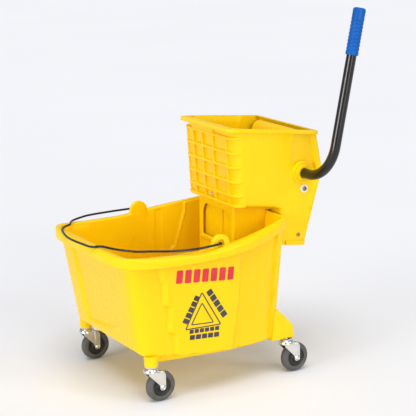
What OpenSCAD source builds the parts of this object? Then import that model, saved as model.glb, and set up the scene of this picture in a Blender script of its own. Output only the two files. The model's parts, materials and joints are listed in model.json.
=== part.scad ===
// Mop bucket on four swivel casters, with a lift-off side-press wringer and a folding carrying bail.
// Origin on the floor, midway between the four caster stems. +X is the wringer end, +Z is up.

/* [Bucket] */
// Height of the rim along the front half
rim_z = 367; // [360:1:374]
// Extra height of the rim at the rear wall
rim_rise = 41; // [38:1:44]
// Height of the underside of the bucket
floor_z = 95; // [94:1:100]
// Distance from the origin forward to the inside of the rim
front_x = 265; // [255:1:268]
// Distance from the origin back to the inside of the rear wall at the rim
rear_x = 190; // [186:1:191]
// Half of the widest inside width at the rim
half_w = 200; // [196:1:202]
// Wall thickness of the bucket
wall = 4; // [3:0.5:4.5]
// How far the rim overhangs the wall at the front
overhang = 25; // [22:1:28]
// Height of the skirt that hangs from the rim
skirt_h = 27; // [22:1:34]

/* [Casters] */
// Diameter of each wheel
wheel_d = 76; // [74:1:77]
// Width of each tyre
wheel_w = 21; // [18:1:22]
// Half the distance between the front and the rear stems
stem_x = 197; // [195:1:198]
// Half the distance between the left and the right stems
stem_y = 173; // [171:1:174]
// How far each wheel trails behind its stem
trail = 25; // [24:0.5:26]
// Diameter of each stem
stem_d = 11; // [10:0.5:11.5]

/* [Bail] */
// Diameter of the bail wire
wire_d = 5.5; // [4.5:0.5:6]
// Distance from the origin forward to the bail's pivot
bail_x = 22; // [20:1:24]
// Height of the bail's pivot
bail_z = 380; // [379:0.5:381]
// Angle by which the folded bail slopes down towards the front
bail_slope = 1.15; // [1:0.05:1.2]

/* [Wringer] */
// Height of the wringer's rim at the front
hopper_z = 635; // [628:1:640]
// Drop of the wringer's rim from front to rear
hopper_drop = 25; // [22:1:28]
// Half of the wringer's width at its front wall
hopper_w = 116; // [114:1:118]
// Wall thickness of the wringer
hopper_t = 4; // [3.5:0.5:4.5]
// Depth of the grid of ribs on the front wall
rib_h = 6; // [4:0.5:7]

/* [Press] */
// Distance of the lever's axle behind the origin
axle_x = 266; // [265:0.5:267]
// Height of the lever's axle
axle_z = 507; // [506:0.5:508]
// Number of teeth on a full pinion
pinion_teeth = 12; // [12:1:12]
// Number of pinion turns for one turn of the sector
press_ratio = 3; // [3:1:3]
// Diameter of the rod that the press plate hinges on
rod_d = 10; // [8:0.5:11]

/* [Lever] */
// Outer diameter of the lever tube
tube_d = 25; // [24:0.5:25]
// Radius of the lever's bend, at the middle of the tube
bend_r = 86; // [80:1:90]
// Angle by which the lever leans back at rest
lean = 10.8; // [8:0.2:12]
// Length of the lever above its axle
lever_len = 425; // [400:5:440]
// Length of the grip
grip_len = 115; // [100:1:125]
// Outer diameter of the grip
grip_d = 31.5; // [30:0.5:33]

/* [Hidden] */
$fn = 64;

YELLOW = "gold";
ZINC = "silver";
DARK = "dimgray";

// Running clearance on the radius of every pin and shaft
clear = 0.05;
// How far a cut or a joined shape reaches past the face that it meets
eps = 1;

// Casters
wheel_r = wheel_d / 2;
stem_top = 113;
boss_bottom = 92;
boss_r = 17;
boss_top = 118;
socket_r = 8;
fork_gap = 13.4;
fork_t = 2.5;
fork_top = 80;
cup_top = 88;
cup_r = 19;
bolt_r = 4;
bush_r = 6;
core_r = 24;

// Rear feet
foot_in = 148;
foot_out = 185;

// Bail and its ears
ear_in = 199;
ear_out = 207;
ear_r = 25;
slot_r = 6.5;
wire_sides = 8;
// Half of the bail from a pivot's inner end to the middle: distance from the pivot line, and distance from
// the centre plane
bail_half = [
    [0, ear_in - 5], [0, 210], [2.5, 213.2], [8, 214], [35, 218], [75, 220], [115, 216], [150, 206],
    [180, 190], [205, 168], [224, 142],
    [236, 116], [243, 101], [256, 97], [268, 86], [277, 62], [283, 32]
];
bail_tip = [285, 0];

// Wringer
rim_front = 61;
rim_back = 314;
spread = 0.082;
leg_front = 92;
leg_back = 176;
leg_w = 83;
leg_bottom = 262;
seat_x = 208;
kink_x = 329;
heel_x = 278;
heel_z = 317;
skirt_foot = 324;
rim_slope = hopper_drop / (rim_back - rim_front);
front_top = [70, hopper_z];
front_foot = [85, 435];

// Rows and columns of ribs on the front wall, from its foot and from the centre plane, and their thickness
rib_rows = [0, 24, 60, 97, 134, 171];
rib_columns = [-87, -25, 25, 69, 107];
rib_t = 6;

// Press
hinge_x = 258;
hinge_z = 346;
reach = norm([axle_x - hinge_x, axle_z - hinge_z]);
mesh_angle = atan2(axle_z - hinge_z, axle_x - hinge_x);
sector_teeth = pinion_teeth * press_ratio;
gear_module = 2 * reach / (pinion_teeth + sector_teeth);
pressure = 25;
backlash = 0.25;
gear_in = 106;
gear_out = 116;
floor_r = 92;
plate_w = 105;
plate_t = 4;
plate_foot = [252, 442];
plate_top = [277, 598];
plate_bow = 17;

// Lever
tube_r = tube_d / 2;
tube_bore = tube_r - 2;
lever_out = 163;
bush_in = 120;

// Bolts through the side walls, each on a round pad
stop_x = 272;
stop_z = 465;
pad_r = 12;
pad_h = 1.2;
washer_r = 10.5;
washer_t = 2.6;
// Screw through the front wall that holds the strainer
screw_y = 3;
screw_z = 447.5;

// Height of the bucket's rim at the rear wall, where the wringer's floor sits on it
rim_top = rim_z + rim_rise;
// Radius and half length of the pins that lock the pinions to the lever
pin_r = 2;
pin_half = 14.3;
hub_r = 14.5;

// ---- helpers ----

function mix(a, b, t) = a + (b - a) * t;
function limit(t) = min(1, max(0, t));
function power(v, p) = sign(v) * pow(abs(v), p);

// Draws a side-view outline (x, z) as a slab from y = low to y = high
module slab(low, high) {
    translate([0, high, 0]) rotate([90, 0, 0]) linear_extrude(high - low) children();
}

module both_sides() {
    children();
    mirror([0, 1, 0]) children();
}

// A cylinder along Y from y = low to y = high, through the point (x, z)
module bar(x, z, r, low, high) {
    translate([x, high, z]) rotate([90, 0, 0]) cylinder(r = r, h = high - low);
}

module at_corner(front, left) {
    translate([front ? -stem_x : stem_x, left ? -stem_y : stem_y, 0]) children();
}

module at_corners() {
    for (front = [true, false]) for (left = [true, false]) at_corner(front, left) children();
}

// ---- bucket ----

steps = 72;
middle_x = -30;
front_bend = 15;
rear_bend = 26;
// How far the front and rear walls lean in, from the rim to the underside
front_lean = 42;
rear_lean = 18;
// How much higher the underside is at the front
front_rise = 30;

// Height of the rim and of the underside at a place along the bucket
function rim_at(x) = rim_z + rim_rise * pow(limit((x + 80) / 270), 1.35) + 4 * limit((-170 - x) / 80);
function underside_at(x) = floor_z + front_rise * limit((-150 - x) / 70);
// Inside half width at the rim, before the corners are rounded
function half_width(x) = x < 0 ? half_w + 0.035 * x : half_w - 36 * pow(min(x, rear_x) / 190, 1.5);

// A point of the plan outline: a is the direction, f is 0 at the underside and 1 at the rim, and d is the
// distance outside the inner face
function plan(a, f, d) =
    let (
        bend = cos(a) < 0 ? front_bend : rear_bend,
        front = mix(front_x - front_lean, front_x, f) + d,
        rear = mix(rear_x - rear_lean, rear_x, f) + d,
        u = power(cos(a), 2 / bend),
        x = middle_x + u * (u < 0 ? front + middle_x : rear - middle_x),
        taper = mix(mix(0.89, 1, limit((x + 230) / 410)), 1, f)
    )
    [x, power(sin(a), 2 / bend) * (half_width(x) * taper + d)];

function ring(f, d_front, d_rear, rise, from_rim) = [
    for (i = [0 : steps - 1])
        let (
            a = 360 * i / steps,
            rough = plan(a, f, 0),
            d = mix(d_front, d_rear, limit((rough[0] - 60) / 110)),
            p = plan(a, f, d)
        )
        [p[0], p[1], (from_rim ? rim_at(rough[0]) : underside_at(rough[0])) + rise]
];

module bucket_shell() {
    rings = [
        ring(0, wall, wall, 0, false),
        ring(1, wall, wall, -wall, true),
        ring(1, overhang - wall, 6, -wall, true),
        ring(1, overhang - wall, 6, -skirt_h, true),
        ring(1, overhang, 10, -skirt_h, true),
        ring(1, overhang, 10, 0, true),
        ring(1, 0, 0, 0, true),
        ring(0, 0, 0, wall, false)
    ];
    last = len(rings) - 1;
    centre = (last + 1) * steps;
    points = [for (r = rings) for (p = r) p];
    sides = [
        for (k = [0 : last - 1]) for (i = [0 : steps - 1])
            let (j = (i + 1) % steps)
            each [
                [k * steps + i, (k + 1) * steps + i, (k + 1) * steps + j],
                [k * steps + i, (k + 1) * steps + j, k * steps + j]
            ]
    ];
    below = [for (i = [0 : steps - 1]) [centre, i, (i + 1) % steps]];
    inside = [for (i = [0 : steps - 1]) [centre + 1, last * steps + (i + 1) % steps, last * steps + i]];
    polyhedron(
        concat(points, [[middle_x, 0, floor_z], [middle_x, 0, floor_z + wall]]),
        concat(sides, below, inside)
    );
}

module bail_ear() {
    slab(ear_in, ear_out) difference() {
        union() {
            translate([-bail_x, bail_z - 4]) circle(r = ear_r);
            translate([-bail_x - ear_r, bail_z - 34]) square([2 * ear_r, 30]);
        }
        translate([-bail_x, bail_z]) circle(r = slot_r);
        translate([-bail_x - slot_r, bail_z - slot_r]) square([2 * slot_r, slot_r]);
    }
}

module rear_foot() {
    slab(foot_in, foot_out) polygon([
        [160, boss_bottom + 1], [stem_x + 17, boss_bottom + 1], [stem_x + 17, 121],
        [stem_x + 9, 133], [168, 171]
    ]);
}

module bucket() {
    color(YELLOW) difference() {
        union() {
            bucket_shell();
            both_sides() bail_ear();
            both_sides() rear_foot();
            for (left = [true, false]) at_corner(true, left)
                translate([0, 0, boss_bottom]) cylinder(r = boss_r, h = boss_top - boss_bottom);
        }
        at_corners() translate([0, 0, boss_bottom - eps])
            cylinder(r = socket_r + clear, h = stem_top + eps - boss_bottom);
    }
}

// ---- casters ----

module stem_sockets() {
    color(DARK) at_corners() translate([0, 0, boss_bottom + 1]) difference() {
        cylinder(r = socket_r, h = stem_top - boss_bottom - 1.5);
        translate([0, 0, -eps]) cylinder(r = stem_d / 2 + clear, h = stem_top);
    }
}

module caster_stems() {
    color(ZINC) at_corners() {
        translate([0, 0, 74]) cylinder(r = 6.5, h = 2.5);
        translate([0, 0, 76]) cylinder(r = stem_d / 2, h = stem_top - 78);
        translate([0, 0, 89]) cylinder(r = 15, h = 2.5);
    }
}

module thrust_washers() {
    color(DARK) at_corners() translate([0, 0, cup_top + 0.2]) difference() {
        cylinder(r = 13, h = 0.6);
        translate([0, 0, -eps]) cylinder(r = stem_d / 2 + clear, h = 3);
    }
}

module fork_leg() {
    slab(fork_gap, fork_gap + fork_t) {
        polygon([[-13, fork_top], [15, fork_top], [trail + 6.5, wheel_r + 6], [trail - 7.5, wheel_r + 1]]);
        translate([trail, wheel_r]) circle(r = 8);
    }
}

module fork() {
    color(ZINC) difference() {
        union() {
            translate([0, 0, fork_top - 3]) cylinder(r = cup_r, h = 3);
            translate([0, 0, fork_top]) cylinder(r1 = cup_r, r2 = 15, h = cup_top - fork_top);
            both_sides() fork_leg();
        }
        translate([0, 0, 70]) cylinder(r = stem_d / 2 + clear, h = 30);
        bar(trail, wheel_r, bolt_r + clear, -30, 30);
    }
}

module axle_bolt() {
    edge = fork_gap + fork_t;
    color(ZINC) {
        bar(trail, wheel_r, bolt_r, -edge - 1, edge + 5);
        translate([trail, -edge - 0.1, wheel_r]) rotate([90, 0, 0]) cylinder(r1 = 6.5, r2 = 5, h = 3.5);
        translate([trail, edge + 4.1, wheel_r]) rotate([90, 0, 0]) cylinder(r = 7, h = 4, $fn = 6);
    }
}

// A wheel part drawn around the Z axis, turned to lie on the wheel's axle
module on_axle() {
    translate([trail, 0, wheel_r]) rotate([90, 0, 0]) children();
}

module wheel_core() {
    half = wheel_w / 2;
    color("black") on_axle() rotate_extrude() polygon([
        [bush_r, -half - 1.5], [11, -half - 1.5], [13, -half + 3],
        [core_r - 4, -half + 3], [core_r, -half + 1],
        [core_r, half - 1], [core_r - 4, half - 3], [13, half - 3], [11, half + 1.5], [bush_r, half + 1.5]
    ]);
}

module wheel_bush() {
    color(ZINC) on_axle() translate([0, 0, -fork_gap + 0.4]) difference() {
        cylinder(r = bush_r - clear, h = 2 * fork_gap - 0.8);
        translate([0, 0, -eps]) cylinder(r = bolt_r + clear, h = 30);
    }
}

module tyre() {
    half = wheel_w / 2;
    color("gray") on_axle() rotate_extrude() polygon([
        [core_r + clear, -half + 1], [wheel_r - 8, -half],
        [wheel_r - 4, -half + 0.8], [wheel_r - 1.2, -half + 3.5],
        [wheel_r, -half + 7], [wheel_r, half - 7], [wheel_r - 1.2, half - 3.5], [wheel_r - 4, half - 0.8],
        [wheel_r - 8, half], [core_r + clear, half - 1]
    ]);
}

// ---- bail ----

// Turns a point of the folded bail's own plane into the object's frame
function bail_point(p, side) =
    [-bail_x - p[0] * cos(bail_slope), side * p[1], bail_z - p[0] * sin(bail_slope)];
bail_path = concat(
    [for (p = bail_half) bail_point(p, 1)],
    [bail_point(bail_tip, 1)],
    [for (i = [len(bail_half) - 1 : -1 : 0]) bail_point(bail_half[i], -1)]
);

function unit(v) = v / norm(v);
// Rings of points around a path, with faces that close it at both ends
function tube_points(path, r, sides, up) = [
    for (i = [0 : len(path) - 1])
        let (
            along = unit(path[min(i + 1, len(path) - 1)] - path[max(i - 1, 0)]),
            across = unit(cross(along, up)),
            over = cross(across, along)
        )
        for (k = [0 : sides - 1])
            path[i] + r * (cos(360 * k / sides) * across + sin(360 * k / sides) * over)
];
function tube_faces(count, sides) = concat(
    [
        for (i = [0 : count - 2]) for (k = [0 : sides - 1])
            let (n = (k + 1) % sides)
            each [
                [i * sides + k, i * sides + n, (i + 1) * sides + n],
                [i * sides + k, (i + 1) * sides + n, (i + 1) * sides + k]
            ]
    ],
    [[for (k = [sides - 1 : -1 : 0]) k]],
    [[for (k = [0 : sides - 1]) (count - 1) * sides + k]]
);

module bail() {
    up = [sin(bail_slope), 0, cos(bail_slope)];
    color("black")
        polyhedron(
            tube_points(bail_path, wire_d / 2, wire_sides, up),
            tube_faces(len(bail_path), wire_sides)
        );
}

// ---- wringer body ----

function hopper_rim(x) = hopper_z - (x - rim_front) * rim_slope;
function hopper_half(x) = hopper_w + (x - front_top[0]) * spread;

// The wringer seen from the side, from its rim down to its rear heel
module hopper_outline() {
    polygon([
        [front_top[0], hopper_rim(front_top[0]) - 2], front_foot,
        [seat_x, 420], [seat_x, skirt_foot], [heel_x, heel_z],
        [kink_x, axle_z + 2], [rim_back - 6, hopper_rim(rim_back) - 2]
    ]);
}

// The wringer seen from above, from x = low to x = high, with its sides moved in by inset
module hopper_plan(low, high, inset) {
    polygon([
        [low, inset - hopper_half(low)], [high, inset - hopper_half(high)],
        [high, hopper_half(high) - inset], [low, hopper_half(low) - inset]
    ]);
}

module hopper_sides() {
    intersection() {
        slab(-150, 150) hopper_outline();
        translate([0, 0, 300]) linear_extrude(400) difference() {
            hopper_plan(50, 340, 0);
            hopper_plan(40, 350, hopper_t);
        }
    }
}

// A wall that crosses the wringer between its sides, given by its side view
module hopper_cross_wall() {
    intersection() {
        slab(-150, 150) children();
        translate([0, 0, 300]) linear_extrude(400) hopper_plan(50, 340, 0.5);
    }
}

module hopper_floor() {
    difference() {
        hopper_cross_wall() polygon(concat(
            [front_foot, [seat_x, 420], [seat_x + hopper_t, 422]],
            [for (a = [116 : -4.6 : 93]) [hinge_x, hinge_z] + (floor_r - hopper_t) * [cos(a), sin(a)]],
            [for (a = [93 : 4.6 : 116]) [hinge_x, hinge_z] + floor_r * [cos(a), sin(a)]],
            [[172, 427.5], [88, 439]]
        ));
        translate([leg_front + hopper_t, hopper_t - leg_w, 400]) cube([
            leg_back - leg_front - 2 * hopper_t, 2 * (leg_w - hopper_t), 60
        ]);
        both_sides() translate([seat_x + hopper_t + 0.5, 98.5, 410]) cube([60, 26, 40]);
    }
}

module hopper_rim_flange() {
    intersection() {
        slab(-150, 150) polygon([
            [rim_front, hopper_z], [rim_front, hopper_z - 12],
            [rim_back, hopper_rim(rim_back) - 12], [rim_back, hopper_rim(rim_back)]
        ]);
        translate([0, 0, 560]) linear_extrude(100) difference() {
            hopper_plan(rim_front, rim_back, -6);
            hopper_plan(front_top[0] + hopper_t, rim_back - 10, hopper_t);
        }
    }
}

module leg() {
    depth = leg_back - leg_front;
    difference() {
        translate([leg_front, -leg_w, leg_bottom]) cube([depth, 2 * leg_w, 428 - leg_bottom]);
        translate([leg_front + hopper_t, hopper_t - leg_w, leg_bottom - eps])
            cube([depth - 2 * hopper_t, 2 * (leg_w - hopper_t), 200]);
        translate([leg_front - eps, 0, 0]) {
            translate([0, -66, 325]) cube([8, 132, 61]);
            translate([0, -42, 325]) cube([8, 84, 85]);
            for (y = [-42, 42]) translate([0, y, 386]) rotate([0, 90, 0]) cylinder(r = 24, h = 8);
        }
    }
}

module front_ribs() {
    tilt = atan2(front_foot[0] - front_top[0], front_top[1] - front_foot[1]);
    translate([front_foot[0], 0, front_foot[1]]) rotate([0, -tilt, 0]) {
        for (z = rib_rows) translate([-rib_h, -hopper_w + 0.5, z]) cube([rib_h + 1, 2 * hopper_w - 1, rib_t]);
        for (y = rib_columns) translate([-rib_h, y, rib_t / 2])
            cube([rib_h + 1, rib_t, rib_rows[len(rib_rows) - 1] - rib_rows[0]]);
    }
}

module hopper_boss() {
    bar(axle_x, axle_z, 29, 128, 138);
    bar(axle_x, axle_z, 22, 128, 141);
}

module wringer_body() {
    color(YELLOW) difference() {
        union() {
            hopper_sides();
            hopper_cross_wall() polygon([
                front_top - [0, 2], front_foot, front_foot + [hopper_t, 0], front_top + [hopper_t, -2]
            ]);
            hopper_cross_wall() polygon([
                [rim_back - 6, hopper_rim(rim_back) - 2], [rim_back - 10, hopper_rim(rim_back) - 2],
                [kink_x - hopper_t, axle_z + 2], [heel_x - hopper_t, heel_z],
                [heel_x, heel_z], [kink_x, axle_z + 2]
            ]);
            hopper_cross_wall() polygon([
                [seat_x, skirt_foot], [seat_x + hopper_t, skirt_foot - 0.4],
                [seat_x + hopper_t, 424], [seat_x, 419.5]
            ]);
            hopper_floor();
            hopper_rim_flange();
            leg();
            front_ribs();
            both_sides() hopper_boss();
            both_sides() bar(stop_x, stop_z, pad_r, hopper_half(stop_x) - 2, hopper_half(stop_x) + pad_h);
            for (y = [-60, 52]) translate([188, y, rim_top + 0.4]) cube([12, 8, 14]);
        }
        bar(axle_x, axle_z, 17, -160, 160);
        bar(hinge_x, hinge_z, 2.6, -160, 160);
        bar(stop_x, stop_z, 4.1, -160, 160);
        translate([60, screw_y, screw_z]) rotate([0, 90, 0]) cylinder(r = 2.6, h = 40);
    }
}

module drain_strainer() {
    color(YELLOW) difference() {
        union() {
            slab(-leg_w, leg_w) polygon([[91, 440], [172, 429], [172, 432], [91, 443]]);
            translate([91, -45, 440]) cube([3, 90, 16]);
        }
        for (x = [100 : 10 : 160]) for (y = [-68, -22, 24]) translate([x, y, 420]) cube([5, 42, 17.5]);
        translate([60, screw_y, screw_z]) rotate([0, 90, 0]) cylinder(r = 2.6, h = 60);
    }
}

module strainer_screw() {
    color(ZINC) translate([0, screw_y, screw_z]) rotate([0, 90, 0]) {
        translate([0, 0, 75]) cylinder(r = 2.5, h = 24);
        translate([0, 0, 73]) cylinder(r1 = 3.5, r2 = 5, h = 2.5);
        translate([0, 0, 94.5]) cylinder(r = 4.6, h = 3.5, $fn = 6);
    }
}

module lever_bushes() {
    color(YELLOW) both_sides() difference() {
        union() {
            bar(axle_x, axle_z, 17 - clear, bush_in + 1, 142);
            bar(axle_x, axle_z, 20, 141.1, 143.5);
        }
        bar(axle_x, axle_z, tube_r + clear, 100, 160);
    }
}

module hinge_rod() {
    end = hopper_half(hinge_x) - hopper_t - 1.5;
    color(ZINC) difference() {
        bar(hinge_x, hinge_z, rod_d / 2, -end, end);
        both_sides() bar(hinge_x, hinge_z, 2.6, end - 15, end + eps);
    }
}

module rod_screws() {
    face = hopper_half(hinge_x);
    color(ZINC) both_sides() {
        bar(hinge_x, hinge_z, 2.5, face - 16, face + 1);
        bar(hinge_x, hinge_z, 5, face + 0.6, face + 3);
    }
}

// A torsion spring around the hinge rod: one leg against the wringer, one against the press plate
module return_spring() {
    turns = 5;
    per_turn = 14;
    coil_r = 9;
    pitch = 4;
    wire_r = 1.25;
    path = [
        for (i = [0 : turns * per_turn])
            let (a = 360 * i / per_turn)
            [hinge_x + coil_r * cos(a), 60 + pitch * i / per_turn, hinge_z + coil_r * sin(a)]
    ];
    polyhedron(tube_points(path, wire_r, 6, [0, 1, 0]), tube_faces(len(path), 6));
    translate([hinge_x + coil_r, 60, hinge_z - 1]) rotate([0, -4, 0]) cylinder(r = wire_r, h = 108);
    translate([hinge_x + coil_r, 60 + pitch * turns, hinge_z])
        rotate([0, 180, 0]) cylinder(r = wire_r, h = 20);
}

module return_springs() {
    color(ZINC) both_sides() return_spring();
}

module stop_bolts() {
    face = hopper_half(stop_x) + pad_h + washer_t + 0.1;
    color(ZINC) both_sides() {
        bar(stop_x, stop_z, 4, face - 14, face + 1);
        bar(stop_x, stop_z, 6.5, face, face + 2.8);
    }
}

module nylon_washers() {
    face = hopper_half(stop_x) + pad_h;
    color("white") both_sides() difference() {
        bar(stop_x, stop_z, washer_r, face, face + washer_t);
        bar(stop_x, stop_z, 4 + clear, face - 5, face + 9);
    }
}

// ---- press plate and gears ----

// Front face of the plate, from its foot at t = 0 to its top at t = 1
function plate_face(t) =
    [mix(plate_foot[0], plate_top[0], t) - plate_bow * sin(180 * t), mix(plate_foot[1], plate_top[1], t)];

module plate_arm() {
    slab(gear_in - 7, gear_in - 0.5) difference() {
        union() {
            polygon([[hinge_x - 8, hinge_z], [248, 446], [261, 446], [hinge_x + 8, hinge_z]]);
            translate([hinge_x, hinge_z]) circle(r = 10);
        }
        translate([hinge_x, hinge_z]) circle(r = rod_d / 2 + clear);
    }
}

module press_plate() {
    color(YELLOW) {
        slab(-plate_w, plate_w) polygon(concat(
            [for (t = [0 : 0.1 : 1]) plate_face(t)],
            [plate_top + [18, 6], plate_top + [18, 2]],
            [for (t = [0.98 : -0.14 : 0]) plate_face(t) + [plate_t, 0]]
        ));
        both_sides() plate_arm();
    }
}

function involute(a) = tan(a) * 180 / PI - a;
// Half of the angle that a tooth covers at radius r
function tooth_half(r, teeth) =
    let (pitch_r = gear_module * teeth / 2, base_r = pitch_r * cos(pressure))
    90 / teeth - backlash * 90 / (PI * pitch_r) + involute(pressure)
    - (r > base_r ? involute(acos(base_r / r)) : 0);
function polar(r, a) = r * [cos(a), sin(a)];
function tooth_points(teeth, centre) =
    let (pitch_r = gear_module * teeth / 2)
    let (low = pitch_r - 1.05 * gear_module, high = pitch_r + 0.8 * gear_module)
    concat(
        [for (k = [0 : 4]) let (r = mix(low, high, k / 4)) polar(r, centre - tooth_half(r, teeth))],
        [for (k = [4 : -1 : 0]) let (r = mix(low, high, k / 4)) polar(r, centre + tooth_half(r, teeth))]
    );

module sector() {
    slab(gear_in, gear_out) translate([hinge_x, hinge_z]) difference() {
        union() {
            polygon(concat(
                [polar(6, mesh_angle - 18)],
                [for (k = [-1.5 : 1 : 0.5]) each tooth_points(sector_teeth, mesh_angle + 10 * k)],
                [polar(reach * 0.7, mesh_angle + 9), polar(6, mesh_angle + 9)]
            ));
            circle(r = 12);
        }
        circle(r = rod_d / 2 + clear);
        translate(polar(70, mesh_angle - 4)) circle(r = 7);
    }
}

module sector_gears() {
    color(DARK) both_sides() sector();
}

// The pins through the pinion hubs and the lever tube
module upright_pins(r, half) {
    for (side = [-1, 1])
        translate([axle_x, side * (gear_in - 5), axle_z - half]) cylinder(r = r, h = 2 * half);
}

module pinion() {
    slab(gear_in, gear_out) translate([axle_x, axle_z]) difference() {
        polygon([
            for (k = [0 : pinion_teeth - 1])
                each tooth_points(pinion_teeth, mesh_angle + 180 + 360 * k / pinion_teeth)
        ]);
        circle(r = tube_r + clear);
    }
    slab(gear_in - 10, gear_in) translate([axle_x, axle_z]) difference() {
        circle(r = hub_r);
        circle(r = tube_r + clear);
    }
}

module pinions() {
    color(DARK) difference() {
        both_sides() pinion();
        upright_pins(pin_r + clear, 25);
    }
}

module pinion_pins() {
    color(ZINC) upright_pins(pin_r, pin_half);
}

// ---- lever ----

// Places its children in the lever's own frame: axle along Y through the origin, lever upright
module on_lever() {
    translate([axle_x, 0, axle_z]) rotate([0, lean, 0]) children();
}

module lever_tube() {
    grip_line = lever_out + bend_r;
    color(DARK) difference() {
        on_lever() {
            difference() {
                bar(0, 0, tube_r, -lever_out, 144);
                bar(0, 0, tube_bore, -lever_out - eps, 145);
            }
            translate([0, -lever_out, bend_r])
                rotate([0, 90, 0]) rotate([0, 0, -90]) rotate_extrude(angle = 90)
                    translate([bend_r, 0]) difference() {
                        circle(r = tube_r);
                        circle(r = tube_bore);
                    }
            translate([0, -grip_line, bend_r]) difference() {
                cylinder(r = tube_r, h = lever_len - bend_r - 4);
                translate([0, 0, -eps]) cylinder(r = tube_bore, h = lever_len);
            }
        }
        upright_pins(pin_r + clear, 25);
    }
}

module lever_grip() {
    color("royalblue") on_lever() translate([0, -lever_out - bend_r, lever_len - grip_len]) difference() {
        union() {
            cylinder(r = grip_d / 2 - 1, h = grip_len);
            for (k = [0 : 9]) translate([0, 0, 6 + k * (grip_len - 17) / 9]) cylinder(r = grip_d / 2, h = 5);
        }
        translate([0, 0, -eps]) cylinder(r = tube_r + clear, h = grip_len - 3 + eps);
    }
}

module axle_cap() {
    color(DARK) {
        bar(axle_x, axle_z, tube_bore - clear, 132, 145);
        bar(axle_x, axle_z, 17, 144.1, 148);
    }
}

// ---- selection ----

bucket();
stem_sockets();
caster_stems();
thrust_washers();
at_corner(true, true) fork();  // fork_front_left
at_corner(true, false) fork();  // fork_front_right
at_corner(false, true) fork();  // fork_rear_left
at_corner(false, false) fork();  // fork_rear_right
at_corner(true, true) axle_bolt();  // axle_bolt_front_left
at_corner(true, false) axle_bolt();  // axle_bolt_front_right
at_corner(false, true) axle_bolt();  // axle_bolt_rear_left
at_corner(false, false) axle_bolt();  // axle_bolt_rear_right
at_corner(true, true) wheel_core();  // wheel_core_front_left
at_corner(true, false) wheel_core();  // wheel_core_front_right
at_corner(false, true) wheel_core();  // wheel_core_rear_left
at_corner(false, false) wheel_core();  // wheel_core_rear_right
at_corner(true, true) wheel_bush();  // wheel_bush_front_left
at_corner(true, false) wheel_bush();  // wheel_bush_front_right
at_corner(false, true) wheel_bush();  // wheel_bush_rear_left
at_corner(false, false) wheel_bush();  // wheel_bush_rear_right
at_corner(true, true) tyre();  // tyre_front_left
at_corner(true, false) tyre();  // tyre_front_right
at_corner(false, true) tyre();  // tyre_rear_left
at_corner(false, false) tyre();  // tyre_rear_right
bail();
wringer_body();
drain_strainer();
strainer_screw();
lever_bushes();
hinge_rod();
rod_screws();
return_springs();
stop_bolts();
nylon_washers();
press_plate();
sector_gears();
lever_tube();
lever_grip();
axle_cap();
pinions();
pinion_pins();
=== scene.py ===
"""A mop bucket on four casters with a lift-off side-press wringer: its looks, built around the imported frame.

Lengths are millimetres in the row's frame; Blender's metres come in only where a mesh is made.
"""
import json
from math import acos, atan2, cos, pi, radians, sin, tan

import bmesh
import bpy
import numpy as np
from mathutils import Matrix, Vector
from mathutils.geometry import tessellate_polygon
from numpy.linalg import norm


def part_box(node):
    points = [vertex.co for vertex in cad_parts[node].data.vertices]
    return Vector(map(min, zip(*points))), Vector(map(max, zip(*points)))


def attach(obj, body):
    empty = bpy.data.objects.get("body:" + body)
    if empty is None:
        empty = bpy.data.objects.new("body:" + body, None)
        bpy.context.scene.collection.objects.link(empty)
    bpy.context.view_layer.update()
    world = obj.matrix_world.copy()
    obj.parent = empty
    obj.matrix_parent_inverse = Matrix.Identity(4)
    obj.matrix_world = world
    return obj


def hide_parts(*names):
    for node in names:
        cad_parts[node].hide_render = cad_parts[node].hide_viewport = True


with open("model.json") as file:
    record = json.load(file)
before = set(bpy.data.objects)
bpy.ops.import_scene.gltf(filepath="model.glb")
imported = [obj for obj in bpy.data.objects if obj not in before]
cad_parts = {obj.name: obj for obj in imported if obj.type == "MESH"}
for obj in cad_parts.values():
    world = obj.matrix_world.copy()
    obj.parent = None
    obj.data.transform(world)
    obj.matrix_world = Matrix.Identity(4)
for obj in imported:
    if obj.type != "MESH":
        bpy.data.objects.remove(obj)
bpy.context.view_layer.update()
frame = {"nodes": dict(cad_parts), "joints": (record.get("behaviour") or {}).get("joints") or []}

MM = 0.001
SIDES = (-1, 1)
EDGE_RINGS = 4


# ---- places read from the frame ----

def node_box(name):
    """Lowest and highest corner of a CAD node, in millimetres."""
    low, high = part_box(name)
    return np.array(low) / MM, np.array(high) / MM


def pivot(joint):
    """The point that a CAD hinge turns about, in millimetres."""
    found = next(j for j in frame["joints"] if j["name"] == joint)
    return np.array(found["pos_m"]) / MM


bucket_low, bucket_high = node_box("bucket")
wringer_low, wringer_high = node_box("wringer_body")
stop_low, stop_high = node_box("stop_bolts")
tyre_low, tyre_high = node_box("tyre_front_left")
grip_low, grip_high = node_box("lever_grip")
axle = pivot("lever_pull")
hinge = pivot("press_swing")
bail_pivot = pivot("bail_fold")

# Bucket: the rim's overhang at the front and sides and at the rear, its skirt, and the height it climbs
OVERHANG = 25
OVERHANG_REAR = 10
SKIRT = 27
RIM_RISE = 41
WALL = 4
# Inner face: its ends and half width at the rim, and the heights of the rim, the bosses and the underside
FRONT = -bucket_low[0] - OVERHANG
HALF = bucket_high[1] - OVERHANG
REAR = bucket_high[0] - 24
MIDDLE = -30
RIM_REAR = bucket_high[2]
RIM = RIM_REAR - RIM_RISE
BOSS_FOOT = bucket_low[2]
FLOOR = BOSS_FOOT + 3
FRONT_RISE = 30
# How square the corners are in plan, and how far each end leans in from rim to foot
FRONT_BEND = 15
RIM_BEND = 6
REAR_BEND = 26
FRONT_LEAN = 42
REAR_LEAN = 28

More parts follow.
